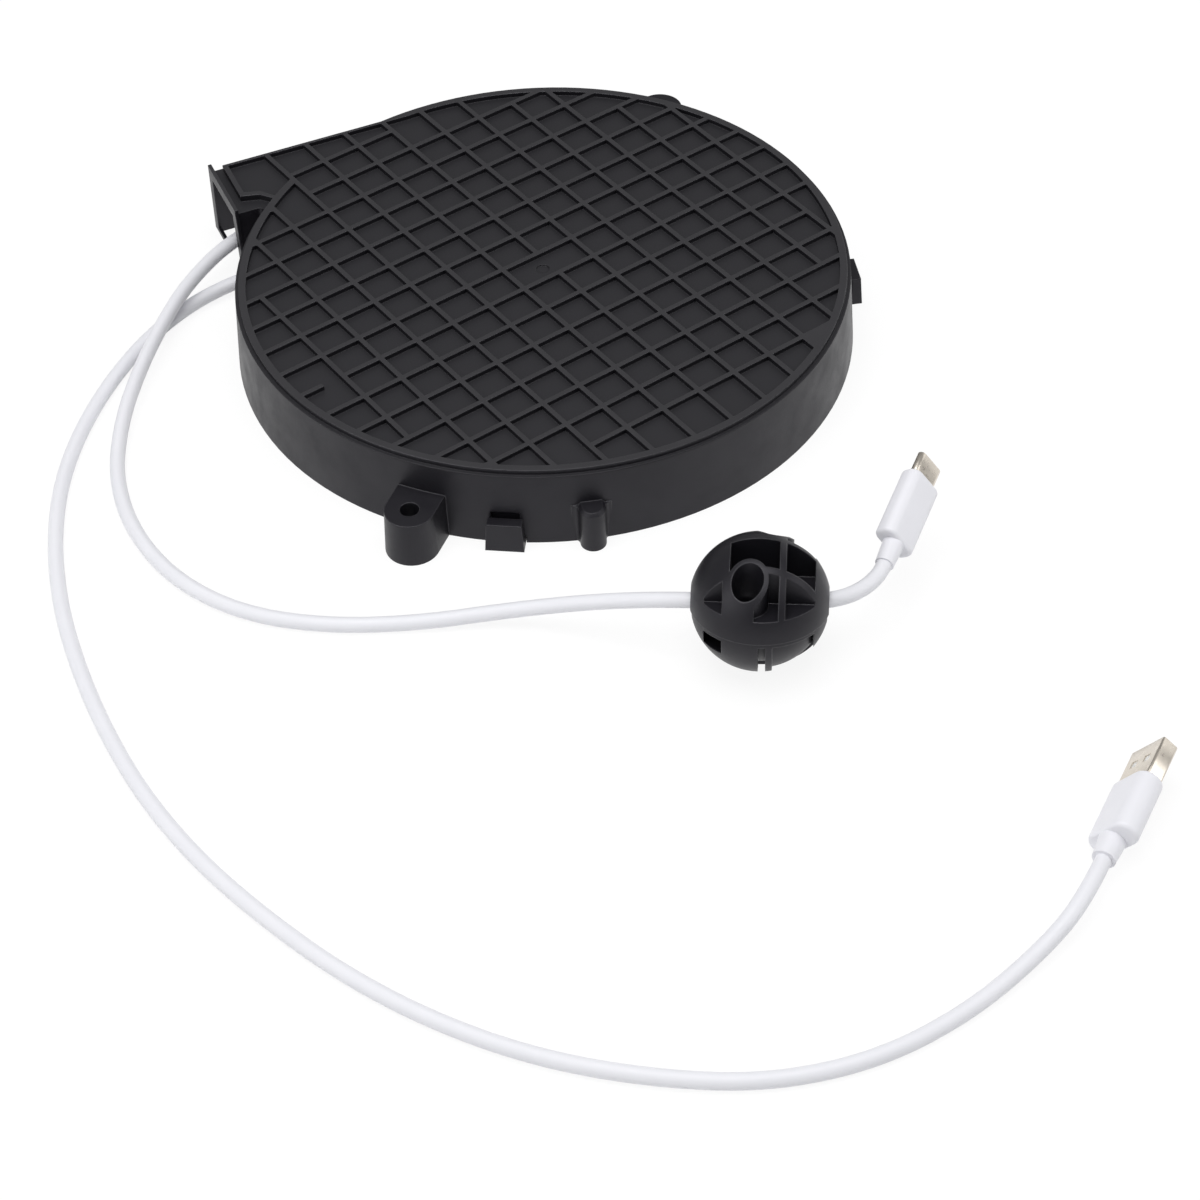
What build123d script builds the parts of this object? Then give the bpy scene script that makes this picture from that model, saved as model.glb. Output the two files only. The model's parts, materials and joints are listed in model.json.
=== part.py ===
from build123d import *
import os
from math import acos, atan, cos, degrees, hypot, pi, radians, sin, tan

os.makedirs("parts", exist_ok=True)

# Spring reel for a charging cable, in millimetres.
# The drum turns about Z, the base plane is Z = 0 and the cable outlet points along -X.

# Case
case_radius = 84.8        # outer wall at the base
case_height = 22.8        # base to the tops of the ribs
wall_lean = 1.3           # how far the wall leans in on its way up
wall = 2.0
deck = 2.0                # thickness of the plate under the ribs
rib_height = 1.4
rib_width = 1.35
rim_width = 2.0           # ring rib round the lattice
shoulder = 1.0            # step between the ring rib and the wall
seat_gap = 0.3            # between pieces that move past each other
fit_gap = 0.05            # round a shaft in its bore
loose_gap = 0.15          # round pieces that drop into place
sink = 0.5                # how far a moulded feature runs into the wall it stands on

# Lattice of ribs on the deck
lattice_angle = 12.4
lattice_pitch = (11.58, 10.26)
lattice_shift = (1.82, 5.07)
smallest_pocket = 4.0     # square millimetres, smaller corners stay filled
column_gaps = (           # column, and the two rows between which its rib is left out
    (0, -1, 0), (3, 6, 9), (5, 4, 9), (5, -6, -5), (-6, 3, 4), (-6, -5, -4), (-7, -9, 9), (7, -9, 9),
)
row_gaps = (              # row, and the two columns between which its rib is left out
    (8, -9, 9), (7, 0, 9), (6, -4, -3), (-1, -6.6, -6), (-3, 6, 9), (-7, -5, -3), (-8, -9, 9),
)
filled_cells = ((3, -8),)
gate_radius = 1.8
gate_depth = 0.4

# Outlet duct, tangent to the case
mouth_x = 67.0
duct_width = 26.0         # outside, across the base
duct_inset = 1.6          # how far the duct's back lies inside the round wall
duct_drop = 0.5           # how far the duct's roof lies below the deck
lip_thickness = 1.0
lip_proud = 1.0
rim_setback = 2.7
duct_rim = 1.4
back_rim = 0.8
jog_angle = 133.0         # where the duct's front rim leaves the ring rib
jog_run = 4.3
jog_rise = 1.5
last_lattice_line = -3
foot_width = 6.5
foot_height = 1.4

# Ears, catches and half-round bosses on the wall
group_angles = (-120.0, 60.0)
group_step = 15.0
lone_catch_angle = -15.0
ear_width = 13.0
ear_stand = 6.7           # hole centre outside the wall
ear_hole_radius = 2.5
ear_height = 13.0
ear_draft = 0.6
boss_radius = 3.4
boss_stand = 1.3
boss_height = 12.6
boss_chamfer = 0.8
boss_flare = 1.8          # hollow blend where the boss meets the wall
catch_width = 9.1
catch_height = 8.4
catch_proud = 3.0
catch_draft = 0.5
nose_reach = 0.9
nose_height = 2.2
nose_flat = 0.8
window_width = 7.6
window_bottom = 5.7
window_height = 5.0
window_depth = 1.4
window_slope = 2.0        # height over which the window runs out to the wall

# Notch in the wall for the fixed lead
lead_notch_width = 5.4
lead_notch_angle = 140.5
lead_notch_inset = 1.6
lead_notch_heading = 176.0
lead_turn_inset = 2.46    # where the lead turns, inside the wall
lead_turn_angle = 139.4

# Lower cover and its screws
cover = 2.0
screw_inset = 7.8         # screws inside the outer wall
screw_angles = (75.0, -15.0, -105.0, 165.0)
screw_post_radius = 3.2
screw_pad_radius = 4.0
screw_pad_top = 4.0
screw_radius = 1.45
screw_head_radius = 2.7
screw_head_height = 1.8
screw_length = 10.0
drive_length = 3.6        # cross in a screw head
drive_width = 0.7
drive_depth = 0.9
cover_setback = 9.0

# Spindle, drum and winding
spindle_radius = 4.0
spindle_foot = 1.2
spindle_collar_radius = 6.4
spindle_collar = 0.5
spindle_boss_radius = 7.0
side_room = 12.8          # between the drum's flanges and the outside of the wall
flange = 1.2
drum_floor = 7.0          # underside of the lower flange
hub_radius = 30.0
hub_wall = 1.5
ledge_width = 1.5
drum_boss_height = 2.5
winding_margin = 5.5      # bare rim of the flange
winding_height = 8.4
spring_plate = 1.0
spring_strip = 0.6
spring_pitch = 2.1

# Sliding contacts under the drum
board_radius = 22.0
board_hole = 9.0
board = 1.2
board_seat = 1.0
track_radii = (10.7, 13.7, 16.7, 19.7)
track_width = 1.4
track = 0.2
brush_strip = 0.25
brush_length = 6.4
brush_foot = 1.1
brush_toe = 0.8
carrier_width = 10.0
carrier_height = 1.4
carrier_margin = 1.7

# Latch
notch_count = 12
notch_depth = 2.8
notch_width = 5.0
pawl_angle = -60.0
pawl_stand = 5.3          # pivot outside the flange
pawl_reach = 9.5
pawl_arm = 2.6
pawl_tooth = 2.0
pawl_thickness = 2.4
pawl_hub_radius = 2.6
pawl_tail = 6.0
pawl_pin_radius = 1.2
pawl_pin_head = 0.8
leaf = 0.3
leaf_length = 8.0
leaf_post = 3.0

# Cables and what is on them
cable_diameter = 4.0
arc_share = 0.9           # of each run that the bends may take up
wire_radius = 0.4
wire_lap = 1.0
clamp_length = 6.0
clamp_width = 14.0
clamp_strap = 0.5
clamp_screw_radius = 0.95
clamp_head_radius = 1.6
clamp_head_height = 1.0

# Stop ball, two halves screwed together round the cable
ball_radius = 17.2
ball_step = 0.35          # the lower half is this much smaller
ball_centre_xy = (-1.0, -135.5)
ball_heading = -28.0
ball_roll = 8.0
ball_belt = 6.0
ball_notch_depth = 6.0
ball_rib = 1.6
ball_end_rib = 14.0
ball_cross = (-8.0, 5.4)
ball_long = (-7.6, 3.5)
ball_web = -1.2           # left end of the pocket beside the front screw
ball_lower_rib = 2.6
ball_lower_lip = 1.2      # edge left standing along the split
ball_panel_depth = 1.0
ball_groove_width = 1.8
ball_groove_depth = 2.6
ball_boss_at = (2.85, 9.7)
ball_boss_radius = 5.0
ball_boss_hole = 3.85
ball_seat_height = 3.0
ball_flare_start = 7.0
ball_flare_radius = 4.4
ball_screw_radius = 1.2
ball_head_radius = 2.6
ball_head_height = 2.0
ball_screw_length = 11.0

# Type C plug
c_shell = (8.25, 2.4)
c_shell_length = 6.65
c_shell_wall = 0.25
c_mould = (10.9, 6.2)
c_mould_length = 21.0
c_mould_round = 2.6
c_collar_radius = 2.8
c_collar_length = 6.5
c_slot = (6.3, 0.8)
c_slot_depth = 5.2
c_roll = -53.0

# Type A plug
a_shell = (12.0, 4.5)
a_shell_length = 11.5
a_shell_wall = 0.3
a_shell_round = 0.6
a_mould = (14.2, 7.4)
a_mould_length = 18.0
a_mould_round = 3.6
a_collar_radius = 3.3
a_collar_length = 6.0
a_tongue = 1.9
a_tongue_back = 2.0
a_contact_width = 1.0
a_contact_pitch = 2.25
a_contact = 0.15
a_contact_setback = 1.5
a_hole = 2.2
a_hole_from_tip = 5.4
a_hole_pitch = 4.6
a_roll = 54.0
mould_edge = 1.0
neck_taper = 0.85

# Radii that follow from the sizes above
duct_front = case_radius - duct_width
flange_radius = case_radius - side_room
winding_radius = flange_radius - winding_margin
screw_circle = case_radius - screw_inset
pawl_circle = flange_radius + pawl_stand
ear_hole_circle = case_radius + ear_stand
boss_circle = case_radius + boss_stand
lead_turn_x = (case_radius - lead_turn_inset) * cos(radians(lead_turn_angle))
lead_turn_y = (case_radius - lead_turn_inset) * sin(radians(lead_turn_angle))

# Routes of the two cables, chosen by hand from drum or clamp to plug
pull_route = [
    (1, winding_radius + 2.5, 12.4), (-22, winding_radius + 2.7, 12.2),
    (-45, winding_radius + 1.7, 11), (-67.5, winding_radius - 0.9, 9),
    (-85, 53.5, 8.2), (-97.5, 40, 7.2), (-109.5, 25, 5.2), (-119.5, 9, 3.4),
    (-127, -10, 2.2), (-128.7, -31.5, 2), (-124, -53, 2), (-112.5, -71, 2),
    (-95, -84, 2), (-74, -92.8, 2), (-54, -100, 4.2), (-37.5, -110.5, 9.6),
    (-24.5, -121, 14.6), (-11.6, -129.9, 16.85), (13.6, -143.25, 16.85),
    (27.7, -141, 15.7), (32.3, -136.7, 16.6),
]
lead_route = [
    (-19.5, 17.5, 4.15), (-31, 33.5, 4.15), (-45, 47.5, 4.15), (lead_turn_x, lead_turn_y, 4.15),
    (-81, 52.4, 2.8), (-98.5, 44.5, 2), (-114.5, 31, 2), (-129, 14, 2),
    (-140.5, -5, 2), (-148.5, -26.5, 2), (-153.5, -49.5, 2), (-155.5, -73, 2),
    (-155.4, -97, 2), (-153, -120.5, 2), (-147.5, -143.5, 2), (-139.2, -165.5, 2),
    (-128.7, -187.5, 2), (-115.3, -207.8, 2), (-98.8, -226, 2), (-79, -241, 2),
    (-57, -252.8, 2), (-32.5, -257.5, 2), (-8, -254.5, 2), (13.5, -247.5, 3.4),
    (27.2, -241.7, 6.9), (37.2, -233.4, 7.1),
]

# Heights and further radii that follow
deck_top = case_height - rib_height
deck_bottom = deck_top - deck
lean = degrees(atan(wall_lean / deck_top))
top_radius = case_radius - wall_lean
rim_radius = top_radius - shoulder
pocket_radius = rim_radius - rim_width
cable_radius = cable_diameter / 2
catch_angles = (*group_angles, lone_catch_angle)
ear_angles = tuple(angle - group_step for angle in group_angles)
boss_angles = tuple(angle + group_step for angle in group_angles)
drum_top = drum_floor + flange
flange_top_z = drum_top + winding_height
ledge_top = flange_top_z - spring_plate - loose_gap
board_z = cover + board_seat
track_top = board_z + board + track
spindle_collar_z = drum_floor - 2 * seat_gap - spindle_collar - fit_gap
spring_inner = spindle_boss_radius + seat_gap + spring_strip
spring_room = hub_radius - hub_wall - ledge_width - seat_gap - spring_strip - spring_inner
spring_turns = int(spring_room / spring_pitch)
pawl_z = drum_floor + flange / 2 - pawl_thickness / 2
span = 3 * case_radius    # longer than anything it cuts


def case_outline(inset, reach):
    """Round case with the tangent duct, inset all round."""
    back = case_radius - duct_inset - inset
    front = duct_front + inset
    duct = Pos(-reach / 2, (front + back) / 2) * Rectangle(reach, back - front)
    return Circle(case_radius - inset) + duct


def slab(low, high):
    """Box between two corners."""
    size = [b - a for a, b in zip(low, high)]
    middle = [(a + b) / 2 for a, b in zip(low, high)]
    return Pos(*middle) * Box(*size)


def rod(radius, bottom, top, x=0, y=0):
    return Pos(x, y, bottom) * Cylinder(radius, top - bottom, align=(Align.CENTER, Align.CENTER, Align.MIN))


def ring(outer, inner, bottom, top):
    return rod(outer, bottom, top) - rod(inner, bottom - 1, top + 1)


def polar(angle, radius, z=0):
    """Location on a circle about the drum axis, X pointing outwards."""
    return Rot(0, 0, angle) * Pos(radius, 0, z)


def lattice_line(axis, index):
    return lattice_shift[axis] + index * lattice_pitch[axis]


def lattice_count(axis):
    count = int(case_radius / lattice_pitch[axis]) + 1
    return range(-count, count + 1)


def cell_block(columns, rows):
    """Rectangle between two lattice columns and two rows, in the lattice's own axes."""
    left, right = columns
    low, high = rows
    return Pos((left + right) / 2, (low + high) / 2) * Rectangle(right - left, high - low)


def lattice_ribs():
    """Plan of the ribs, with the gaps that join neighbouring pockets at the rim."""
    half = rib_width / 2
    columns = Sketch()
    for index in lattice_count(0):
        line = lattice_line(0, index)
        columns += cell_block((line - half, line + half), (-span, span))
    for column, first, last in column_gaps:
        line = lattice_line(0, column)
        ends = (lattice_line(1, first) + half, lattice_line(1, last) - half)
        columns -= cell_block((line - half, line + half), ends)
    rows = Sketch()
    for index in lattice_count(1):
        line = lattice_line(1, index)
        rows += cell_block((-span, span), (line - half, line + half))
    for row, first, last in row_gaps:
        line = lattice_line(1, row)
        ends = (lattice_line(0, first) + half, lattice_line(0, last) - half)
        rows -= cell_block(ends, (line - half, line + half))
    ribs = columns + rows
    for column, row in filled_cells:
        sides = (lattice_line(0, column), lattice_line(0, column + 1))
        ribs += cell_block(sides, (lattice_line(1, row), lattice_line(1, row + 1)))
    return Rot(0, 0, lattice_angle) * ribs


def duct_plan(rim):
    """Plan of the duct's top inside its rim, with the jog beside the ring rib."""
    left = -mouth_x + rim_setback + rim
    back = rim_radius - duct_inset - back_rim * rim / duct_rim
    bend_x = (rim_radius + jog_run) * cos(radians(jog_angle))
    bend_y = (rim_radius + jog_run) * sin(radians(jog_angle)) + rim
    foot_x = rim_radius * cos(radians(jog_angle)) + rim
    foot_y = rim_radius * sin(radians(jog_angle))
    bend = (bend_x + rim / 2, bend_y)
    corners = [(0, back), (left, back), (left, bend_y + jog_rise), bend, (foot_x, foot_y), (0, foot_y)]
    return make_face(Polyline(*corners, corners[0]))


def lattice_pockets():
    """Plan of the pockets between the ribs."""
    line = lattice_line(0, last_lattice_line)
    near = Rot(0, 0, lattice_angle) * cell_block((line + rib_width / 2, span), (-span, span))
    far = Rot(0, 0, lattice_angle) * cell_block((-span, line - rib_width / 2), (-span, span))
    duct = duct_plan(duct_rim)
    plan = Circle(pocket_radius) + (duct & near) - lattice_ribs()
    over_duct = (duct & far) - Circle(rim_radius)
    faces = [face for face in plan.faces() + over_duct.faces() if face.area > smallest_pocket]
    return Sketch(children=faces)


def rib_plate():
    """Ring rib, duct rim and lattice, standing on the deck."""
    plan = Circle(rim_radius) + duct_plan(0)
    foot = Pos(0, 0, deck_top - duct_drop) * extrude(plan, amount=duct_drop)
    return foot + Pos(0, 0, deck_top) * extrude(plan - lattice_pockets(), amount=rib_height)


def ear(angle):
    root = case_radius - 3 * wall
    width = ear_width + 2 * ear_draft
    plan = Pos((root + ear_hole_circle) / 2, 0) * Rectangle(ear_hole_circle - root, width)
    plan += Pos(ear_hole_circle, 0) * Circle(width / 2)
    return Rot(0, 0, angle) * extrude(plan, amount=ear_height, taper=degrees(atan(ear_draft / ear_height)))


def half_round_boss(angle):
    root = case_radius - 3 * wall
    plan = Pos((root + boss_circle) / 2, 0) * Rectangle(boss_circle - root, 2 * boss_radius)
    plan += Pos(boss_circle, 0) * Circle(boss_radius)
    solid = extrude(plan, amount=boss_height - boss_chamfer)
    top = Pos(0, 0, boss_height - boss_chamfer)
    solid += top * extrude(plan, amount=boss_chamfer, taper=45)
    flare_end = case_radius - wall_lean / 2 + boss_flare
    flare_width = 2 * (boss_radius + boss_flare)
    flare = Pos((root + flare_end) / 2, 0) * Rectangle(flare_end - root, flare_width)
    for side in (-1, 1):
        flare -= Pos(flare_end, side * flare_width / 2) * Circle(boss_flare)
    return Rot(0, 0, angle) * (solid + extrude(flare, amount=boss_height - boss_chamfer))


def mouth_lip():
    """Flange round the open end of the duct, as high as the ribs."""
    reach = mouth_x + 4 * lip_thickness
    lip = extrude(case_outline(-lip_proud, reach), amount=case_height, taper=lean)
    return lip & slab((-mouth_x - lip_thickness, duct_front - wall, 0), (-mouth_x, span, span))


def make_upper_case():
    tray = extrude(case_outline(0, mouth_x + 4 * lip_thickness), amount=deck_top, taper=lean)
    tray -= slab((-span, duct_front - wall, -1), (-mouth_x, span, span))
    roof = slab((-mouth_x, duct_front, deck_top - duct_drop), (-case_radius / 2, case_radius, deck_top))
    tray -= roof - rod(rim_radius, 0, span)
    for angle in ear_angles:
        tray += ear(angle)
    for angle in boss_angles:
        tray += half_round_boss(angle)
    tray += mouth_lip()
    tray -= extrude(case_outline(wall, mouth_x + 8 * lip_thickness), amount=deck_bottom, taper=lean)
    foot_back = case_radius - duct_inset - wall / 2
    tray += slab((-mouth_x - lip_thickness, foot_back - foot_width, 0), (-mouth_x, foot_back, foot_height))
    tray += rib_plate()
    tray -= rod(gate_radius, deck_top - gate_depth, deck_top)
    for angle in screw_angles:
        tray += polar(angle, screw_circle) * rod(screw_post_radius, screw_pad_top, deck_bottom + sink)
        pilot_top = seat_gap + screw_head_height + screw_length + seat_gap
        tray -= polar(angle, screw_circle) * rod(screw_radius + fit_gap, 0, pilot_top)
    socket_bottom = flange_top_z + flange + 2 * seat_gap
    socket = rod(spindle_collar_radius, socket_bottom, deck_bottom + sink)
    tray += socket - rod(spindle_radius + fit_gap, 0, deck_bottom)
    for angle in ear_angles:
        tray -= polar(angle, ear_hole_circle) * rod(ear_hole_radius, -1, ear_height + 1)
    for angle in catch_angles:
        slot = catch_width / 2 + catch_draft + loose_gap
        cut = catch_window() + slab((-2 * wall, -slot, -1), (wall, slot, cover + loose_gap))
        tray -= polar(angle, case_radius) * cut
    arch_top = lead_route[3][2]
    arch = Rot(0, 90, 0) * Cylinder(lead_notch_width / 2, 6 * wall)
    arch += slab((-3 * wall, -lead_notch_width / 2, -arch_top - 1), (3 * wall, lead_notch_width / 2, 0))
    notch_at = polar(lead_notch_angle, case_radius - lead_notch_inset, arch_top).position
    tray -= Pos(*notch_at) * Rot(0, 0, lead_notch_heading) * arch
    return tray


def catch_window():
    """Blind recess in the wall, running out upwards."""
    top = window_bottom + window_height
    profile = Plane.XZ * make_face(
        Polyline(
            (wall, window_bottom), (-window_depth, window_bottom), (-window_depth, top - window_slope),
            (0, top), (wall, top), (wall, window_bottom),
        )
    )
    return extrude(profile, amount=window_width / 2, both=True)


def catch():
    """Springy tab outside the wall, with a nose that reaches into the window."""
    outside = loose_gap
    depth = catch_proud + catch_draft - outside
    width = catch_width + 2 * catch_draft
    plan = Pos(outside + depth / 2, 0) * Rectangle(depth, width)
    tab = extrude(plan, amount=catch_height, taper=degrees(atan(catch_draft / catch_height)))
    tab &= slab((outside, -width, 0), (span, width, span))
    tab += slab((outside, -catch_width / 2, 0), (catch_proud / 2, catch_width / 2, catch_height))
    tab += slab((-3 * wall, -width / 2, 0), (outside + sink, width / 2, cover))
    nose_width = window_width / 2 - 2 * loose_gap
    nose_low = window_bottom + loose_gap
    profile = Plane.XZ * make_face(
        Polyline(
            (outside + sink, nose_low), (-nose_reach, nose_low), (-nose_reach, nose_low + nose_flat),
            (outside, nose_low + nose_height), (outside + sink, nose_low + nose_height),
            (outside + sink, nose_low),
        )
    )
    return tab + extrude(profile, amount=nose_width, both=True)


def make_lower_cover():
    inset = wall + seat_gap
    plan = case_outline(inset, mouth_x - cover_setback)
    plate = extrude(plan, amount=cover)
    for angle in catch_angles:
        plate += polar(angle, case_radius) * catch()
    plate += ring(board_radius - sink, board_hole + sink, cover - sink, board_z)
    plate += rod(spindle_boss_radius, cover - sink, spindle_collar_z)
    plate -= rod(spindle_radius + fit_gap / 2, spindle_foot, span)
    for angle in screw_angles:
        plate += polar(angle, screw_circle) * rod(screw_pad_radius, cover - sink, screw_pad_top)
        plate -= polar(angle, screw_circle) * rod(screw_radius + loose_gap, -1, span)
        recess = rod(screw_head_radius + loose_gap, -1, seat_gap + screw_head_height)
        plate -= polar(angle, screw_circle) * recess
    pawl_boss = rod(pawl_hub_radius, cover - sink, pawl_z - seat_gap)
    pawl_boss -= rod(pawl_pin_radius + fit_gap / 2, cover, span)
    plate += pawl_frame() * pawl_boss
    post_x = leaf_start() + leaf_post / 2
    leaf_y = pawl_arm / 2 + seat_gap
    cheek = leaf_post / 2
    post_top = pawl_z + pawl_thickness
    post = slab((post_x - leaf_post, leaf_y - cheek, cover - sink), (post_x, leaf_y + leaf + cheek, post_top))
    slot_low = (leaf_start() - fit_gap, leaf_y - fit_gap, pawl_z)
    post -= slab(slot_low, (post_x + 1, leaf_y + leaf + fit_gap, span))
    plate += pawl_frame() * post
    for side in (-1, 1):
        hole = rod(clamp_screw_radius + fit_gap, cover / 2 - loose_gap, span, 0, side * clamp_screw_offset())
        plate -= clamp_frame() * hole
    return plate


def cross_drive():
    """Cross recess of a screw head, centred on its own depth."""
    return Box(drive_length, drive_width, drive_depth) + Box(drive_width, drive_length, drive_depth)


def make_case_screws():
    screws = []
    for angle in screw_angles:
        head = rod(screw_head_radius, seat_gap, seat_gap + screw_head_height)
        shank = rod(screw_radius, seat_gap + screw_head_height, seat_gap + screw_head_height + screw_length)
        drive = Pos(0, 0, seat_gap + drive_depth / 2) * cross_drive()
        screws.append(polar(angle, screw_circle) * (head + shank - drive))
    return Compound(children=screws)


def make_spindle():
    top = deck_bottom - seat_gap
    shaft = rod(spindle_radius, spindle_foot, top)
    return shaft + rod(spindle_collar_radius, spindle_collar_z, spindle_collar_z + spindle_collar)


def make_track_board():
    return ring(board_radius, board_hole, board_z, board_z + board)


def make_track_rings():
    rings = []
    for radius in track_radii:
        rings.append(ring(radius + track_width / 2, radius - track_width / 2, board_z + board, track_top))
    return Compound(children=rings)


def make_drum():
    bore = spindle_radius + fit_gap
    drum = rod(flange_radius, drum_floor, drum_top)
    drum += ring(hub_radius, hub_radius - hub_wall, drum_top - sink, flange_top_z)
    drum += ring(hub_radius - hub_wall / 2, hub_radius - hub_wall - ledge_width, drum_top - sink, ledge_top)
    drum += rod(spindle_boss_radius, drum_floor - seat_gap, drum_top + drum_boss_height)
    drum -= rod(bore, 0, span)
    tooth_offset = degrees((pawl_reach - pawl_arm) / flange_radius)
    for index in range(notch_count):
        angle = pawl_angle + tooth_offset + index * 360 / notch_count
        cut = slab((-notch_depth, -notch_width / 2, 0), (notch_depth, notch_width / 2, span))
        drum -= polar(angle, flange_radius) * cut
    return drum


def make_drum_flange():
    return ring(flange_radius, hub_radius - hub_wall, flange_top_z, flange_top_z + flange)


def make_spring_plate():
    outer = hub_radius - hub_wall - loose_gap
    return ring(outer, spindle_radius + fit_gap, ledge_top, ledge_top + spring_plate)


def make_power_spring():
    """Flat strip wound into a spiral of half circles."""
    bottom = drum_top + seat_gap
    top = ledge_top - seat_gap
    edges = []
    for offset in (0, spring_strip):
        for index in range(2 * spring_turns):
            radius = spring_inner + offset + index * spring_pitch / 2
            side = 1 if index % 2 else 0
            centre = side * spring_pitch / 2
            edges.append(CenterArc((centre, 0), radius, 180 * side, 180))
    first = edges[0] @ 0
    first_outer = edges[2 * spring_turns] @ 0
    last = edges[2 * spring_turns - 1] @ 1
    last_outer = edges[-1] @ 1
    outline = edges + [Line(first, first_outer), Line(last, last_outer)]
    return Pos(0, 0, bottom) * extrude(make_face(outline), amount=top - bottom)


def make_cable_winding():
    """Wound cable as one solid, its outer layer shaped as two turns."""
    low = drum_top + seat_gap / 3
    core = ring(winding_radius - cable_radius, hub_radius + seat_gap, low, low + 2 * cable_diameter)
    for level in (1, 3):
        turn = Pos(winding_radius - cable_radius, low + level * cable_radius) * Circle(cable_radius)
        core += revolve(Plane.XZ * turn, Axis.Z)
    return core


def make_brush_carrier():
    low = track_radii[0] - carrier_margin
    high = track_radii[-1] + carrier_margin
    return slab((low, -carrier_width / 2, drum_floor - carrier_height), (high, carrier_width / 2, drum_floor))


def make_brushes():
    """Bent contact strips, one over each track."""
    top = drum_floor - carrier_height
    tip = track_top + seat_gap
    half = brush_length / 2
    profile = Plane.YZ * make_face(
        Polyline(
            (-half, top), (-half, top - brush_strip), (-half + brush_foot, top - brush_strip),
            (half - brush_toe, tip), (half, tip), (half, tip + brush_strip),
            (half - brush_toe, tip + brush_strip), (-half + brush_foot + brush_strip, top), (-half, top),
        )
    )
    strip = extrude(profile, amount=track_width / 2, both=True)
    return Compound(children=[Pos(radius, 0, 0) * strip for radius in track_radii])


def pawl_frame():
    """At the pawl's pivot, X along the rim and Y towards the drum."""
    return polar(pawl_angle, pawl_circle) * Rot(0, 0, 90)


def make_pawl():
    tooth_tip = pawl_circle - (flange_radius ** 2 - pawl_reach ** 2) ** 0.5 - 2 * seat_gap
    plan = Circle(pawl_hub_radius)
    plan += Pos((pawl_reach - pawl_tail) / 2, 0) * Rectangle(pawl_reach + pawl_tail, pawl_arm)
    plan += make_face(
        Polyline(
            (pawl_reach - 2 * pawl_tooth, 0), (pawl_reach - pawl_tooth, tooth_tip), (pawl_reach, tooth_tip),
            (pawl_reach, 0), (pawl_reach - 2 * pawl_tooth, 0),
        )
    )
    plan -= Circle(pawl_pin_radius + fit_gap)
    return pawl_frame() * Pos(0, 0, pawl_z) * extrude(plan, amount=pawl_thickness)


def make_pawl_pin():
    head_z = pawl_z + pawl_thickness + seat_gap
    pin = rod(pawl_pin_radius, cover, head_z) + rod(2 * pawl_pin_radius, head_z, head_z + pawl_pin_head)
    return pawl_frame() * pin


def leaf_start():
    """Held end of the leaf, along the pawl's X."""
    return -pawl_hub_radius - seat_gap - leaf_length


def make_pawl_spring():
    """Leaf that bears on the pawl's tail, held in a slot of the cover's post."""
    leaf_y = pawl_arm / 2 + seat_gap
    low = (leaf_start(), leaf_y, pawl_z + fit_gap)
    high = (leaf_start() + leaf_length, leaf_y + leaf, pawl_z + pawl_thickness)
    return pawl_frame() * slab(low, high)


def clamp_frame():
    """On the fixed lead's first run, X along the lead."""
    start = Vector(*lead_route[0])
    run = Vector(*lead_route[1]) - start
    at = start + run.normalized() * clamp_length
    heading = degrees(acos(run.X / hypot(run.X, run.Y)))
    return Pos(at.X, at.Y, 0) * Rot(0, 0, heading)


def clamp_screw_offset():
    return cable_radius + (clamp_width / 2 - cable_radius) / 2


def make_lead_clamp():
    axis_z = lead_route[0][2]
    top = axis_z + cable_radius + clamp_strap
    body = slab((-clamp_length / 2, -clamp_width / 2, cover), (clamp_length / 2, clamp_width / 2, top))
    body -= Pos(0, 0, axis_z) * Rot(0, 90, 0) * Cylinder(cable_radius + fit_gap / 2, 2 * clamp_length)
    half = cable_radius + fit_gap / 2
    body -= slab((-clamp_length, -half, 0), (clamp_length, half, axis_z))
    for side in (-1, 1):
        place = side * clamp_screw_offset()
        body -= rod(clamp_screw_radius + fit_gap, 0, span, 0, place)
        body -= rod(clamp_head_radius + fit_gap, top - clamp_head_height - fit_gap, span, 0, place)
    return clamp_frame() * body


def make_clamp_screws():
    top = lead_route[0][2] + cable_radius + clamp_strap - fit_gap
    screws = []
    for side in (-1, 1):
        place = side * clamp_screw_offset()
        screw = rod(clamp_head_radius, top - clamp_head_height, top, 0, place)
        screw += rod(clamp_screw_radius, cover / 2, top - clamp_head_height, 0, place)
        screws.append(clamp_frame() * screw)
    return Compound(children=screws)


def make_lead_wires():
    """Four cores from the end of the fixed lead to the board."""
    start = Vector(*lead_route[0])
    run = (Vector(*lead_route[1]) - start).normalized()
    across = Vector(-run.Y, run.X, 0)
    height = Vector(0, 0, board_z + board + wire_radius + fit_gap - start.Z)
    inward = Vector(start.X, start.Y, 0)
    length = inward.length - board_radius + wire_lap
    wires = []
    for index in range(4):
        begin = start + across * ((index - 1.5) * 2.5 * wire_radius) + height
        wire = Plane(begin, z_dir=run * -1) * Cylinder(
            wire_radius, length, align=(Align.CENTER, Align.CENTER, Align.MIN)
        )
        wires.append(wire)
    return Compound(children=wires)


def make_cord(route, name):
    """Round tube along straight runs joined by the largest arcs that they allow."""
    points = [Vector(*p) for p in route]
    runs = [after - before for before, after in zip(points, points[1:])]
    room = [run.length / 2 for run in runs]
    room[0] = runs[0].length
    room[-1] = runs[-1].length
    radii = []
    for index in range(len(runs) - 1):
        turn = radians(runs[index].get_angle(runs[index + 1]))
        radii.append(arc_share * min(room[index], room[index + 1]) / tan(turn / 2))
    path = FilletPolyline(points, radius=radii)
    start = Plane(points[0], z_dir=points[1] - points[0])
    tube = sweep(start * Circle(cable_radius), path=path)
    ideal = pi * cable_radius ** 2 * path.length
    print(name, "length", round(path.length, 1), "tightest radius", round(min(radii), 1))
    print(name, "volume against section times length", round(tube.volume / ideal, 4))
    return tube


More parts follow.
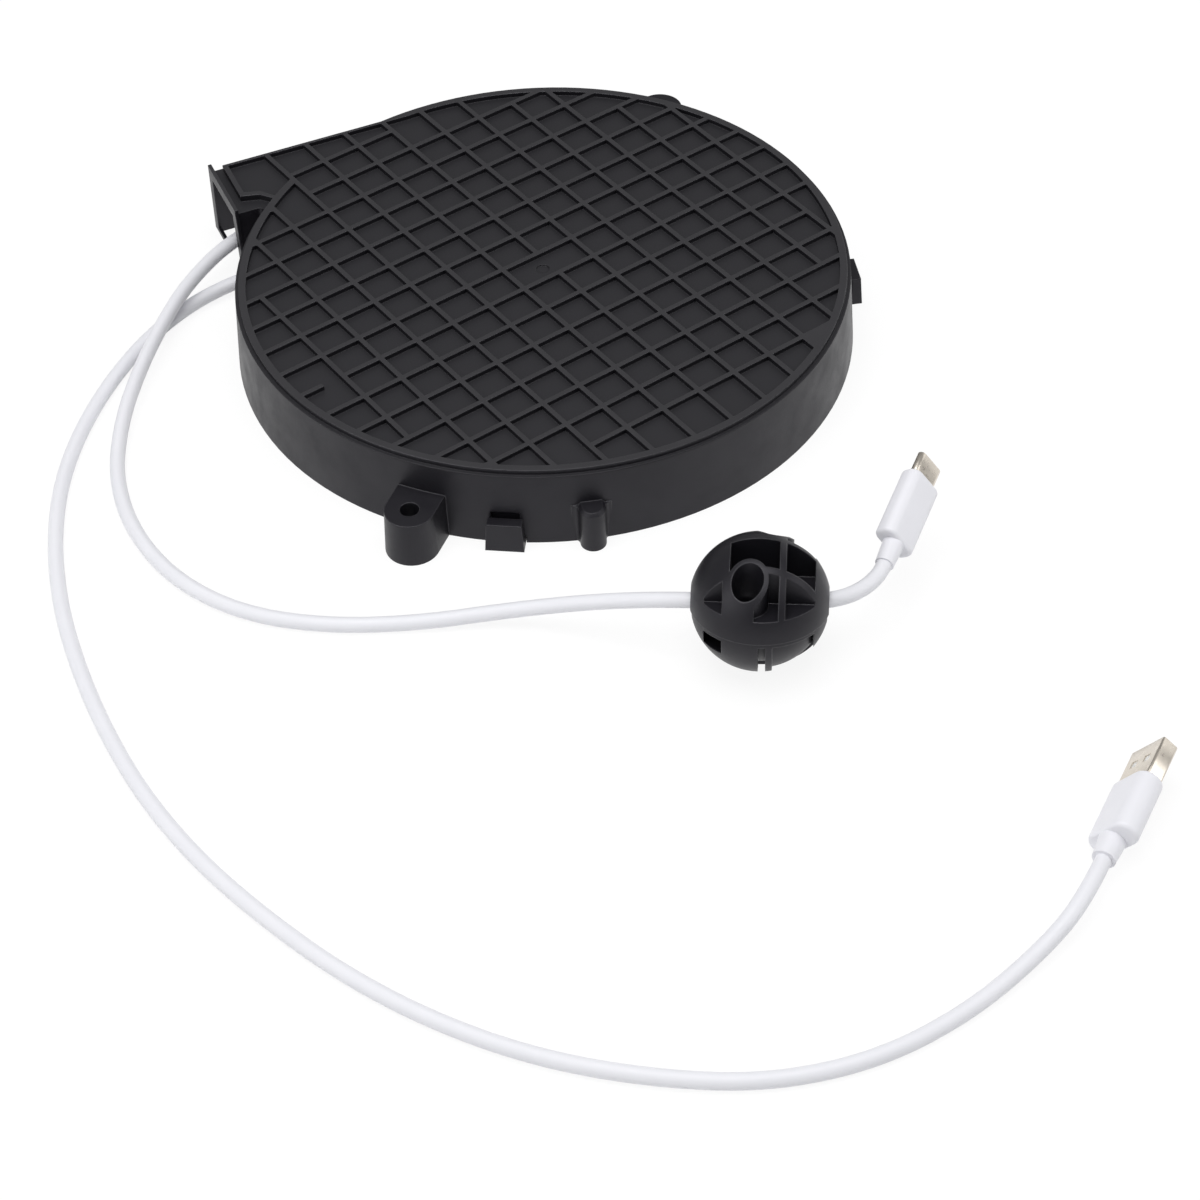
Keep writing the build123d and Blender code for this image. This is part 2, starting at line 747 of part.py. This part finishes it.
def ball_frame():
    along = Vector(cos(radians(ball_heading)), sin(radians(ball_heading)), 0)
    away = Vector(-along.Y, along.X, 0)
    up = Vector(0, 0, cos(radians(ball_roll))) + away * sin(radians(ball_roll))
    centre = Vector(*ball_centre_xy, ball_radius - ball_step)
    return Location(Plane(centre, x_dir=along, z_dir=up))


def half_ball(radius):
    return Sphere(radius) & slab((-span, -span, 0), (span, span, span))


def ball_bore():
    bore = Rot(0, 90, 0) * Cylinder(cable_radius + fit_gap, span)
    length = ball_radius + sink - ball_flare_start
    for side in (-1, 1):
        flare = Cone(cable_radius + fit_gap, ball_flare_radius, length)
        bore += Pos(side * (ball_flare_start + length / 2), 0, 0) * Rot(0, side * 90, 0) * flare
    return bore


def boss_places(sign):
    """The two screws, in front of the cable and behind it."""
    return ((-ball_boss_at[0], -ball_boss_at[1] * sign), (ball_boss_at[0], ball_boss_at[1] * sign))


def make_stop_ball_upper():
    """Half ball with cored pockets above a solid belt, ribs left between them."""
    rib = ball_rib / 2
    left, right = ball_cross
    front, back = ball_long
    end = ball_end_rib - rib
    pockets = slab((left + rib, front + rib, ball_belt), (right - rib, back - rib, span))
    pockets += slab((right + rib, front + rib, ball_belt), (end, back - rib, span))
    pockets += slab((right + rib, -span, ball_belt), (end, front - rib, span))
    pockets += slab((ball_web, -span, ball_belt), (right - rib, front - rib, span))
    pockets += slab((-end, -span, ball_belt), (left - rib, front - rib, span))
    pockets += slab((right + rib, back + rib, ball_belt), (end, span, span))
    for place in boss_places(1):
        pockets -= rod(ball_boss_radius, 0, span, *place)
    half = half_ball(ball_radius) - pockets
    for place in boss_places(1):
        half -= rod(ball_boss_hole, ball_seat_height, span, *place)
        half -= rod(ball_screw_radius + loose_gap, -1, span, *place)
    return ball_frame() * (half - ball_bore())


def make_stop_ball_lower():
    """Half ball with a shallow panel, a groove and a notch on each side."""
    radius = ball_radius - ball_step
    rib = ball_rib / 2
    end = ball_end_rib - rib
    lip = ball_lower_lip
    side = ball_long[1]
    panel = slab((ball_lower_rib + rib, side, lip), (end, span, span)) - Sphere(radius - ball_panel_depth)
    groove_x = ball_lower_rib - rib
    groove = slab((groove_x - ball_groove_width, side, lip), (groove_x, span, span))
    groove -= Sphere(radius - ball_groove_depth)
    notch = slab((-end, side, lip), (ball_cross[0] - rib, span, ball_notch_depth))
    cuts = panel + groove + notch
    half = half_ball(radius) - cuts - Rot(0, 0, 180) * cuts
    for place in boss_places(-1):
        half -= rod(ball_screw_radius + fit_gap, -1, ball_screw_length, *place)
    return ball_frame() * Rot(180, 0, 0) * (half - ball_bore())


def make_ball_screws():
    screws = []
    for place in boss_places(1):
        screw = rod(ball_head_radius, ball_seat_height, ball_seat_height + ball_head_height, *place)
        screw += rod(ball_screw_radius, ball_seat_height - ball_screw_length, ball_seat_height, *place)
        top = ball_seat_height + ball_head_height
        screw -= Pos(*place, top - drive_depth / 2) * cross_drive()
        screws.append(ball_frame() * screw)
    return Compound(children=screws)


def plug_frame(route, roll):
    """At the end of a cable, Z along the plug to its tip, X across its width."""
    tail = Vector(*route[-1])
    axis = (tail - Vector(*route[-2])).normalized()
    right = Vector(axis.Y, -axis.X, 0).normalized()
    up = right.cross(axis)
    width = right * cos(radians(roll)) + up * sin(radians(roll))
    return Location(Plane(tail, x_dir=width, z_dir=axis))


def plug_mould(size, corner, length, collar_radius, collar_length):
    body = Pos(0, 0, collar_length) * extrude(RectangleRounded(*size, corner), amount=length)
    ends = body.faces().sort_by(Axis.Z)
    body = fillet(ends[0].edges() + ends[-1].edges(), mould_edge)
    neck = Cone(neck_taper * collar_radius, collar_radius, collar_length + mould_edge)
    return body + Pos(0, 0, (collar_length + mould_edge) / 2) * neck


def c_frame():
    return plug_frame(pull_route, c_roll)


def make_type_c_overmould():
    return c_frame() * plug_mould(c_mould, c_mould_round, c_mould_length, c_collar_radius, c_collar_length)


def c_base():
    return c_collar_length + c_mould_length


def make_type_c_shell():
    outer = SlotOverall(*c_shell)
    inner = SlotOverall(c_shell[0] - 2 * c_shell_wall, c_shell[1] - 2 * c_shell_wall)
    return c_frame() * Pos(0, 0, c_base()) * extrude(outer - inner, amount=c_shell_length)


def make_type_c_insert():
    gap = c_shell_wall + fit_gap / 2
    solid = extrude(SlotOverall(c_shell[0] - 2 * gap, c_shell[1] - 2 * gap), amount=c_shell_length - seat_gap)
    slot = extrude(Rectangle(*c_slot), amount=c_slot_depth)
    slot_floor = c_shell_length - seat_gap - c_slot_depth
    return c_frame() * Pos(0, 0, c_base()) * (solid - Pos(0, 0, slot_floor) * slot)


def a_frame():
    return plug_frame(lead_route, a_roll)


def a_base():
    return a_collar_length + a_mould_length


def make_type_a_overmould():
    return a_frame() * plug_mould(a_mould, a_mould_round, a_mould_length, a_collar_radius, a_collar_length)


def make_type_a_shell():
    outer = RectangleRounded(*a_shell, a_shell_round)
    inner = Rectangle(a_shell[0] - 2 * a_shell_wall, a_shell[1] - 2 * a_shell_wall)
    shell = extrude(outer - inner, amount=a_shell_length)
    for side in (-1, 1):
        place = Pos(side * a_hole_pitch / 2, 0, a_shell_length - a_hole_from_tip)
        shell -= place * Box(a_hole, 2 * a_shell[1], a_hole)
    return a_frame() * Pos(0, 0, a_base()) * shell


def a_inner():
    gap = 2 * (a_shell_wall + fit_gap / 2)
    return a_shell[0] - gap, a_shell[1] - gap


def make_type_a_insert():
    width, height = a_inner()
    block = extrude(Rectangle(width, height), amount=a_tongue_back)
    tongue = Pos(0, -(height - a_tongue) / 2) * Rectangle(width, a_tongue)
    block += extrude(tongue, amount=a_shell_length - seat_gap)
    return a_frame() * Pos(0, 0, a_base()) * block


def make_type_a_contacts():
    height = a_inner()[1]
    face_y = -height / 2 + a_tongue
    strips = []
    for index in range(4):
        x = (index - 1.5) * a_contact_pitch
        strip = slab(
            (x - a_contact_width / 2, face_y, a_tongue_back),
            (x + a_contact_width / 2, face_y + a_contact, a_shell_length - a_contact_setback),
        )
        strips.append(a_frame() * Pos(0, 0, a_base()) * strip)
    return Compound(children=strips)


pieces = {
    "upper_case": make_upper_case(),
    "lower_cover": make_lower_cover(),
    "case_screws": make_case_screws(),
    "spindle": make_spindle(),
    "track_board": make_track_board(),
    "track_rings": make_track_rings(),
    "lead_wires": make_lead_wires(),
    "lead_clamp": make_lead_clamp(),
    "clamp_screws": make_clamp_screws(),
    "drum": make_drum(),
    "drum_flange": make_drum_flange(),
    "spring_plate": make_spring_plate(),
    "power_spring": make_power_spring(),
    "cable_winding": make_cable_winding(),
    "brush_carrier": make_brush_carrier(),
    "brushes": make_brushes(),
    "latch_pawl": make_pawl(),
    "pawl_pin": make_pawl_pin(),
    "pawl_spring": make_pawl_spring(),
    "pull_cable": make_cord(pull_route, "pull_cable"),
    "fixed_lead": make_cord(lead_route, "fixed_lead"),
    "stop_ball_upper": make_stop_ball_upper(),
    "stop_ball_lower": make_stop_ball_lower(),
    "ball_screws": make_ball_screws(),
    "type_c_overmould": make_type_c_overmould(),
    "type_c_shell": make_type_c_shell(),
    "type_c_insert": make_type_c_insert(),
    "type_a_overmould": make_type_a_overmould(),
    "type_a_shell": make_type_a_shell(),
    "type_a_insert": make_type_a_insert(),
    "type_a_contacts": make_type_a_contacts(),
}

for name, shape in pieces.items():
    export_step(shape, f"parts/{name}.step")
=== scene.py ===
import json
import math

import bpy
from mathutils import Matrix, Vector


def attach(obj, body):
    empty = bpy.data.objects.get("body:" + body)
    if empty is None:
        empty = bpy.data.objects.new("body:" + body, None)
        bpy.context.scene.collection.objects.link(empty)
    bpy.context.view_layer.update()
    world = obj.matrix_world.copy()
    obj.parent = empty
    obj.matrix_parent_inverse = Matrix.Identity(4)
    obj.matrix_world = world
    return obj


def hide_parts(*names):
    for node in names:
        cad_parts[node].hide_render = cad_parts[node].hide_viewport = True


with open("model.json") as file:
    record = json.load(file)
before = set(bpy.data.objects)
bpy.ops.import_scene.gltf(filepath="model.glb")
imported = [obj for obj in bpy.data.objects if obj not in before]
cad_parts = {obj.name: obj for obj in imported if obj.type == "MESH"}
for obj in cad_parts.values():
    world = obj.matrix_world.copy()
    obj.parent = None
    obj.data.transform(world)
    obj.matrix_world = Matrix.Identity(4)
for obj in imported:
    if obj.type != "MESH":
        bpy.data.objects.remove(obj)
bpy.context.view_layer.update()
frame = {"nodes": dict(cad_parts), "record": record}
nodes = frame["nodes"]
scene = bpy.context.scene
scene.view_settings.view_transform = "Standard"
MM = 0.001
EDGE_RADIUS = 0.45 * MM
POCKET_FLOOR = 21.4 * MM
RIB_TOP = 22.8 * MM
CABLE_RADIUS = 2 * MM


# Camera, at the photograph's viewing angle
def make_camera():
    turn = Matrix.Rotation(math.radians(-22.5), 3, "Z")
    right = turn @ Vector((0.99937, -0.02525, -0.02508))
    forward = turn @ Vector((0.0, 0.7048, -0.7094))
    right.normalize()
    forward.normalize()
    up = right.cross(forward).normalized()
    right = forward.cross(up)
    data = bpy.data.cameras.new("camera")
    data.sensor_width = 36.0
    data.lens = 85.535
    data.clip_start = 0.01
    data.clip_end = 20.0
    camera = bpy.data.objects.new("camera", data)
    scene.collection.objects.link(camera)
    rotation = Matrix((right, up, -forward)).transposed().to_4x4()
    camera.matrix_world = Matrix.Translation((-0.22205, -0.56829, 0.50703)) @ rotation
    scene.camera = camera


# Materials
def new_material(name):
    material = bpy.data.materials.new(name)
    material.use_nodes = True
    tree = material.node_tree
    shader = tree.nodes["Principled BSDF"]
    return material, tree, shader


def link(tree, a, b):
    tree.links.new(a, b)


def object_coordinates(tree):
    return tree.nodes.new("ShaderNodeTexCoord").outputs["Object"]


def noise(tree, coordinates, scale, detail=3.0, roughness=0.5):
    node = tree.nodes.new("ShaderNodeTexNoise")
    node.inputs["Scale"].default_value = scale
    node.inputs["Detail"].default_value = detail
    node.inputs["Roughness"].default_value = roughness
    link(tree, coordinates, node.inputs["Vector"])
    return node.outputs["Fac"]


def spread(tree, value, low, high, from_low=0.3, from_high=0.7):
    node = tree.nodes.new("ShaderNodeMapRange")
    node.inputs["From Min"].default_value = from_low
    node.inputs["From Max"].default_value = from_high
    node.inputs["To Min"].default_value = low
    node.inputs["To Max"].default_value = high
    link(tree, value, node.inputs["Value"])
    return node.outputs["Result"]


def mix_colours(tree, factor, first, second):
    node = tree.nodes.new("ShaderNodeMix")
    node.data_type = "RGBA"
    link(tree, factor, node.inputs["Factor"])
    node.inputs["A"].default_value = (*first, 1)
    node.inputs["B"].default_value = (*second, 1)
    return node.outputs["Result"]


def blend(tree, factor, first, second):
    """From a colour socket to a fixed colour."""
    node = tree.nodes.new("ShaderNodeMix")
    node.data_type = "RGBA"
    link(tree, factor, node.inputs["Factor"])
    link(tree, first, node.inputs["A"])
    node.inputs["B"].default_value = (*second, 1)
    return node.outputs["Result"]


def multiply(tree, first, second):
    node = tree.nodes.new("ShaderNodeMath")
    node.operation = "MULTIPLY"
    link(tree, first, node.inputs[0])
    link(tree, second, node.inputs[1])
    return node.outputs[0]


def rounded(tree, radius):
    """Normals of edges rounded to a moulded radius."""
    node = tree.nodes.new("ShaderNodeBevel")
    node.samples = 6
    node.inputs["Radius"].default_value = radius
    return node.outputs["Normal"]


def edge_mask(tree, radius):
    """One on edges, where the rounded normal leaves the face's own, and zero on flats."""
    place = tree.nodes.new("ShaderNodeNewGeometry")
    node = tree.nodes.new("ShaderNodeVectorMath")
    node.operation = "DOT_PRODUCT"
    link(tree, rounded(tree, radius), node.inputs[0])
    link(tree, place.outputs["Normal"], node.inputs[1])
    return spread(tree, node.outputs["Value"], 1.0, 0.0, 0.75, 0.97)


def bump(tree, shader, height, strength, distance, normal=None):
    node = tree.nodes.new("ShaderNodeBump")
    node.inputs["Strength"].default_value = strength
    node.inputs["Distance"].default_value = distance
    link(tree, height, node.inputs["Height"])
    if normal:
        link(tree, normal, node.inputs["Normal"])
    link(tree, node.outputs["Normal"], shader.inputs["Normal"])


def black_plastic(name="black_plastic"):
    """Satin moulded plastic: fine tool texture, faint flow marks, a painted highlight making every edge
    paler, and lower roughness on the edges.
    """
    material, tree, shader = new_material(name)
    where = object_coordinates(tree)
    flow = noise(tree, where, 38.0, 3.0, 0.6)
    grain = noise(tree, where, 2600.0, 2.0, 0.6)
    colour = mix_colours(tree, flow, (0.0062, 0.0058, 0.0080), (0.0105, 0.0100, 0.0128))
    edge = edge_mask(tree, EDGE_RADIUS)
    # painted highlight: the base colour is lifted to pale grey along every edge
    link(tree, blend(tree, edge, colour, (0.060, 0.060, 0.065)), shader.inputs["Base Color"])
    rough = spread(tree, noise(tree, where, 120.0, 4.0, 0.6), 0.36, 0.50)
    # roughness on the edges is lowered as well, a real finish change
    polish = spread(tree, edge, 1.0, 0.45, 0.0, 1.0)
    link(tree, multiply(tree, rough, polish), shader.inputs["Roughness"])
    shader.inputs["Specular IOR Level"].default_value = 0.36
    shader.inputs["Specular Tint"].default_value = (0.95, 0.93, 1.0, 1)
    bump(tree, shader, grain, 0.16, 0.0001, rounded(tree, EDGE_RADIUS))
    return material


def case_plastic():
    """The same plastic, with painted light by height: a painted sheen makes the tops of the ribs paler than
    the pocket floors and the wall, and makes upward pocket floors paler than the wall; painted shade gives
    the pocket sides a plain dark tone.
    """
    material = black_plastic("case_plastic")
    tree = material.node_tree
    shader = tree.nodes["Principled BSDF"]
    place = tree.nodes.new("ShaderNodeNewGeometry")
    height = tree.nodes.new("ShaderNodeSeparateXYZ")
    facing = tree.nodes.new("ShaderNodeSeparateXYZ")
    link(tree, place.outputs["Position"], height.inputs[0])
    link(tree, place.outputs["True Normal"], facing.inputs[0])
    below_ribs = spread(tree, height.outputs["Z"], 1.0, 0.0, POCKET_FLOOR + 0.5 * MM, RIB_TOP - 0.4 * MM)
    above_ribs = spread(tree, height.outputs["Z"], 0.0, 1.0, RIB_TOP - 0.5 * MM, RIB_TOP - 0.1 * MM)
    above_wall = spread(tree, height.outputs["Z"], 0.0, 1.0, POCKET_FLOOR - 0.8 * MM, POCKET_FLOOR - 0.6 * MM)
    upward = spread(tree, facing.outputs["Z"], 0.0, 1.0, 0.8, 0.95)
    pocket = multiply(tree, below_ribs, above_wall)
    tone = shader.inputs["Base Color"].links[0].from_socket
    # painted shade: all faces inside the pockets set to a dark tone
    tone = blend(tree, pocket, tone, (0.0070, 0.0067, 0.0086))
    # painted sheen: upward pocket floors made paler
    tone = blend(tree, multiply(tree, pocket, upward), tone, (0.0175, 0.0172, 0.0195))
    # painted sheen on the tops of the ribs, kept off the painted edge highlight
    edge = edge_mask(tree, EDGE_RADIUS)
    rib_top_sheen = multiply(tree, multiply(tree, above_ribs, upward), spread(tree, edge, 1.0, 0.0, 0.0, 1.0))
    tone = blend(tree, rib_top_sheen, tone, (0.0280, 0.0275, 0.0300))
    link(tree, tone, shader.inputs["Base Color"])
    rough = shader.inputs["Roughness"].links[0].from_socket
    dull = tree.nodes.new("ShaderNodeMix")
    link(tree, pocket, dull.inputs["Factor"])
    link(tree, rough, dull.inputs["A"])
    dull.inputs["B"].default_value = 0.44
    link(tree, dull.outputs["Result"], shader.inputs["Roughness"])
    return material


def white_jacket():
    """Soft white cable jacket, matt, with a faint drag along it."""
    material, tree, shader = new_material("white_jacket")
    where = object_coordinates(tree)
    tone = noise(tree, where, 60.0, 3.0, 0.55)
    colour = mix_colours(tree, tone, (0.74, 0.745, 0.785), (0.785, 0.785, 0.82))
    link(tree, colour, shader.inputs["Base Color"])
    rough = spread(tree, noise(tree, where, 400.0), 0.42, 0.56)
    link(tree, rough, shader.inputs["Roughness"])
    bump(tree, shader, noise(tree, where, 1400.0), 0.10, 0.0001)
    return material


def white_mould():
    """Smooth white plug body."""
    material, tree, shader = new_material("white_mould")
    where = object_coordinates(tree)
    tone = noise(tree, where, 90.0, 2.0, 0.5)
    colour = mix_colours(tree, tone, (0.76, 0.76, 0.805), (0.79, 0.79, 0.83))
    link(tree, colour, shader.inputs["Base Color"])
    rough = spread(tree, noise(tree, where, 300.0), 0.34, 0.46)
    link(tree, rough, shader.inputs["Roughness"])
    bump(tree, shader, noise(tree, where, 2200.0), 0.08, 0.0001)
    return material


def plated_metal(name, dark, light, low, high):
    """Plated or bare metal with drawn streaks and small differences in polish."""
    material, tree, shader = new_material(name)
    shader.inputs["Metallic"].default_value = 1.0
    where = object_coordinates(tree)
    tone = noise(tree, where, 180.0, 3.0, 0.6)
    link(tree, mix_colours(tree, tone, dark, light), shader.inputs["Base Color"])
    link(tree, spread(tree, noise(tree, where, 700.0, 4.0, 0.6), low, high), shader.inputs["Roughness"])
    bump(tree, shader, noise(tree, where, 3000.0), 0.012, 0.0001)
    return material


def moulded(name, dark, light, low, high, grain=1500.0):
    """Plain moulded plastic or coated board."""
    material, tree, shader = new_material(name)
    where = object_coordinates(tree)
    tone = noise(tree, where, 70.0, 3.0, 0.55)
    link(tree, mix_colours(tree, tone, dark, light), shader.inputs["Base Color"])
    link(tree, spread(tree, noise(tree, where, 350.0), low, high), shader.inputs["Roughness"])
    bump(tree, shader, noise(tree, where, grain), 0.08, 0.0001)
    return material


materials = {
    "black_plastic": black_plastic(),
    "case_plastic": case_plastic(),
    "white_jacket": white_jacket(),
    "white_mould": white_mould(),
    "inner_plastic": moulded("inner_plastic", (0.17, 0.175, 0.18), (0.24, 0.245, 0.25), 0.45, 0.6),
    "pale_plastic": moulded("pale_plastic", (0.55, 0.55, 0.50), (0.65, 0.64, 0.60), 0.4, 0.55),
    "plug_plastic": moulded("plug_plastic", (0.70, 0.70, 0.69), (0.78, 0.78, 0.76), 0.35, 0.5),
    "board": moulded("board", (0.02, 0.12, 0.05), (0.04, 0.20, 0.08), 0.25, 0.4),
    "wire_cover": moulded("wire_cover", (0.45, 0.05, 0.04), (0.55, 0.08, 0.06), 0.35, 0.5),
    "plug_steel": plated_metal("plug_steel", (0.70, 0.64, 0.56), (0.76, 0.70, 0.62), 0.24, 0.36),
    "screw_steel": plated_metal("screw_steel", (0.50, 0.50, 0.50), (0.62, 0.62, 0.62), 0.25, 0.4),
    "shaft_steel": plated_metal("shaft_steel", (0.50, 0.50, 0.51), (0.60, 0.60, 0.60), 0.2, 0.35),
    "spring_steel": plated_metal("spring_steel", (0.36, 0.37, 0.40), (0.48, 0.49, 0.50), 0.25, 0.4),
    "copper": plated_metal("copper", (0.64, 0.34, 0.20), (0.76, 0.46, 0.29), 0.22, 0.38),
    "gold": plated_metal("gold", (0.76, 0.58, 0.22), (0.85, 0.68, 0.33), 0.2, 0.3),
}


def dress(piece, slot):
    piece.data.materials.clear()
    piece.data.materials.append(materials["case_plastic" if piece.name == "upper_case" else slot])


# Edges of the moulded pieces
def smooth_by_angle(limit):
    """Node group that shades smooth and keeps edges over the limit sharp."""
    group = bpy.data.node_groups.new("smooth_by_angle", "GeometryNodeTree")
    group.interface.new_socket("Geometry", in_out="INPUT", socket_type="NodeSocketGeometry")
    group.interface.new_socket("Geometry", in_out="OUTPUT", socket_type="NodeSocketGeometry")
    start = group.nodes.new("NodeGroupInput")
    end = group.nodes.new("NodeGroupOutput")
    faces = group.nodes.new("GeometryNodeSetShadeSmooth")
    faces.domain = "FACE"
    edges = group.nodes.new("GeometryNodeSetShadeSmooth")
    edges.domain = "EDGE"
    edges.inputs["Shade Smooth"].default_value = False
    angle = group.nodes.new("GeometryNodeInputMeshEdgeAngle")
    compare = group.nodes.new("FunctionNodeCompare")
    compare.data_type = "FLOAT"
    compare.operation = "GREATER_THAN"
    compare.inputs["B"].default_value = math.radians(limit)
    group.links.new(start.outputs[0], faces.inputs["Geometry"])
    group.links.new(faces.outputs[0], edges.inputs["Geometry"])
    group.links.new(angle.outputs["Unsigned Angle"], compare.inputs["A"])
    group.links.new(compare.outputs["Result"], edges.inputs["Selection"])
    group.links.new(edges.outputs[0], end.inputs[0])
    return group


smooth_group = smooth_by_angle(34.0)


def round_edges(piece, width, segments=2, angle=30.0):
    """Small moulded radius on every edge of a piece."""
    for name in ("custom_normal", "sharp_edge", "sharp_face"):
        if name in piece.data.attributes:
            piece.data.attributes.remove(piece.data.attributes[name])
    weld = piece.modifiers.new("weld", "WELD")
    weld.merge_threshold = 0.000002
    if width > 0:
        bevel = piece.modifiers.new("edge_radius", "BEVEL")
        bevel.width = width
        bevel.segments = segments
        bevel.limit_method = "ANGLE"
        bevel.angle_limit = math.radians(angle)
        bevel.use_clamp_overlap = True
        bevel.harden_normals = False
    smooth = piece.modifiers.new("smooth", "NODES")
    smooth.node_group = smooth_group


# Black mouldings keep their own mesh: their material rounds the edges
plain_nodes = ("upper_case", "lower_cover", "stop_ball_upper", "stop_ball_lower")
edge_radii = {
    "type_c_overmould": 0.0, "type_a_overmould": 0.0, "type_c_shell": 0.05, "type_a_shell": 0.05,
    "type_c_insert": 0.03, "type_a_insert": 0.1, "type_a_contacts": 0.03, "ball_screws": 0.1,
    "case_screws": 0.1, "clamp_screws": 0.1, "lead_clamp": 0.2, "latch_pawl": 0.15,
}

for entry in frame["record"]["subparts"]:
    piece = nodes[entry["node"]]
    dress(piece, entry["material_slot"])
    if entry["node"] not in plain_nodes:
        round_edges(piece, edge_radii.get(entry["node"], 0.1) * MM)


# Cables
pull_route = [
    (1, 69, 12.4), (-22, 69.2, 12.2), (-45, 68.2, 11), (-67.5, 65.6, 9),
    (-85, 53.5, 8.2), (-97.5, 40, 7.2), (-109.5, 25, 5.2), (-119.5, 9, 3.4),
    (-127, -10, 2.2), (-128.7, -31.5, 2), (-124, -53, 2), (-112.5, -71, 2),
    (-95, -84, 2), (-74, -92.8, 2), (-54, -100, 4.2), (-37.5, -110.5, 9.6),
    (-24.5, -121, 14.6), (-11.6, -129.9, 16.85), (13.6, -143.25, 16.85),
    (27.7, -141, 15.7), (32.3, -136.7, 16.6),
]
lead_route = [
    (-19.5, 17.5, 4.15), (-31, 33.5, 4.15), (-45, 47.5, 4.15), (-62.5, 53.6, 4.15),
    (-81, 52.4, 2.8), (-98.5, 44.5, 2), (-114.5, 31, 2), (-129, 14, 2),
    (-140.5, -5, 2), (-148.5, -26.5, 2), (-153.5, -49.5, 2), (-155.5, -73, 2),
    (-155.4, -97, 2), (-153, -120.5, 2), (-147.5, -143.5, 2), (-139.2, -165.5, 2),
    (-128.7, -187.5, 2), (-115.3, -207.8, 2), (-98.8, -226, 2), (-79, -241, 2),
    (-57, -252.8, 2), (-32.5, -257.5, 2), (-8, -254.5, 2), (13.5, -247.5, 3.4),
    (27.2, -241.7, 6.9), (37.2, -233.4, 7.1),
]


def make_cable(name, node, route):
    curve = bpy.data.curves.new(name, "CURVE")
    curve.dimensions = "3D"
    curve.bevel_depth = CABLE_RADIUS
    curve.bevel_resolution = 6
    curve.resolution_u = 10
    curve.use_fill_caps = True
    spline = curve.splines.new("NURBS")
    spline.points.add(len(route) - 1)
    for point, place in zip(spline.points, route):
        point.co = (*[c * MM for c in place], 1)
    spline.order_u = 3
    spline.use_endpoint_u = True
    cable = bpy.data.objects.new(name, curve)
    scene.collection.objects.link(cable)
    curve.materials.append(materials["white_jacket"])
    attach(cable, "case")
    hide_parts(node)
    return cable


pull_cable = make_cable("pull_cable_jacket", "pull_cable", pull_route)
fixed_lead = make_cable("fixed_lead_jacket", "fixed_lead", lead_route)


# Floor, light and background
def make_floor():
    mesh = bpy.data.meshes.new("floor")
    size = 6.0
    corners = [(-size, -size, 0), (size, -size, 0), (size, size, 0), (-size, size, 0)]
    mesh.from_pydata(corners, [], [(0, 1, 2, 3)])
    floor = bpy.data.objects.new("floor", mesh)
    scene.collection.objects.link(floor)
    material, tree, shader = new_material("floor")
    shader.inputs["Base Color"].default_value = (0.9, 0.9, 0.9, 1)
    shader.inputs["Roughness"].default_value = 0.9
    shader.inputs["Specular IOR Level"].default_value = 0.1
    glow = tree.nodes.new("ShaderNodeEmission")
    glow.inputs["Color"].default_value = (1, 1, 1, 1)
    glow.inputs["Strength"].default_value = 1.03
    path = tree.nodes.new("ShaderNodeLightPath")
    share = tree.nodes.new("ShaderNodeMath")
    share.operation = "MULTIPLY"
    share.inputs[1].default_value = 0.85
    seen = tree.nodes.new("ShaderNodeMath")
    seen.operation = "MAXIMUM"
    link(tree, path.outputs["Is Camera Ray"], seen.inputs[0])
    link(tree, path.outputs["Is Glossy Ray"], seen.inputs[1])
    mix = tree.nodes.new("ShaderNodeMixShader")
    link(tree, seen.outputs[0], share.inputs[0])
    link(tree, share.outputs[0], mix.inputs["Fac"])
    link(tree, shader.outputs[0], mix.inputs[1])
    link(tree, glow.outputs[0], mix.inputs[2])
    link(tree, mix.outputs[0], tree.nodes["Material Output"].inputs["Surface"])
    mesh.materials.append(material)


def make_world():
    world = bpy.data.worlds.new("studio")
    scene.world = world
    world.use_nodes = True
    tree = world.node_tree
    light = tree.nodes["Background"]
    light.inputs["Color"].default_value = (1, 1, 1, 1)
    light.inputs["Strength"].default_value = 0.30
    white = tree.nodes.new("ShaderNodeBackground")
    white.inputs["Color"].default_value = (1, 1, 1, 1)
    white.inputs["Strength"].default_value = 1.0
    path = tree.nodes.new("ShaderNodeLightPath")
    mix = tree.nodes.new("ShaderNodeMixShader")
    tree.links.new(path.outputs["Is Camera Ray"], mix.inputs["Fac"])
    tree.links.new(light.outputs[0], mix.inputs[1])
    tree.links.new(white.outputs[0], mix.inputs[2])
    tree.links.new(mix.outputs[0], tree.nodes["World Output"].inputs["Surface"])


def make_softbox(name, place, target, size, power):
    data = bpy.data.lights.new(name, "AREA")
    data.shape = "RECTANGLE"
    data.size = size[0]
    data.size_y = size[1]
    data.energy = power
    lamp = bpy.data.objects.new(name, data)
    scene.collection.objects.link(lamp)
    lamp.location = place
    aim = Vector(target) - Vector(place)
    lamp.rotation_mode = "QUATERNION"
    lamp.rotation_quaternion = aim.to_track_quat("-Z", "Y")


make_camera()
make_floor()
make_world()
make_softbox("top_softbox", (-0.12, -0.12, 1.1), (-0.03, -0.05, 0), (0.9, 0.8), 9.0)
make_softbox("left_softbox", (-1.1, -0.2, 0.6), (-0.03, -0.05, 0), (0.8, 0.8), 4.2)
make_softbox("right_softbox", (0.9, -0.7, 0.7), (0.0, -0.05, 0), (0.7, 0.7), 3.0)
make_softbox("plug_card", (1.1, 0.25, 0.35), (0.0, -0.2, 0.0), (0.9, 0.6), 1.5)
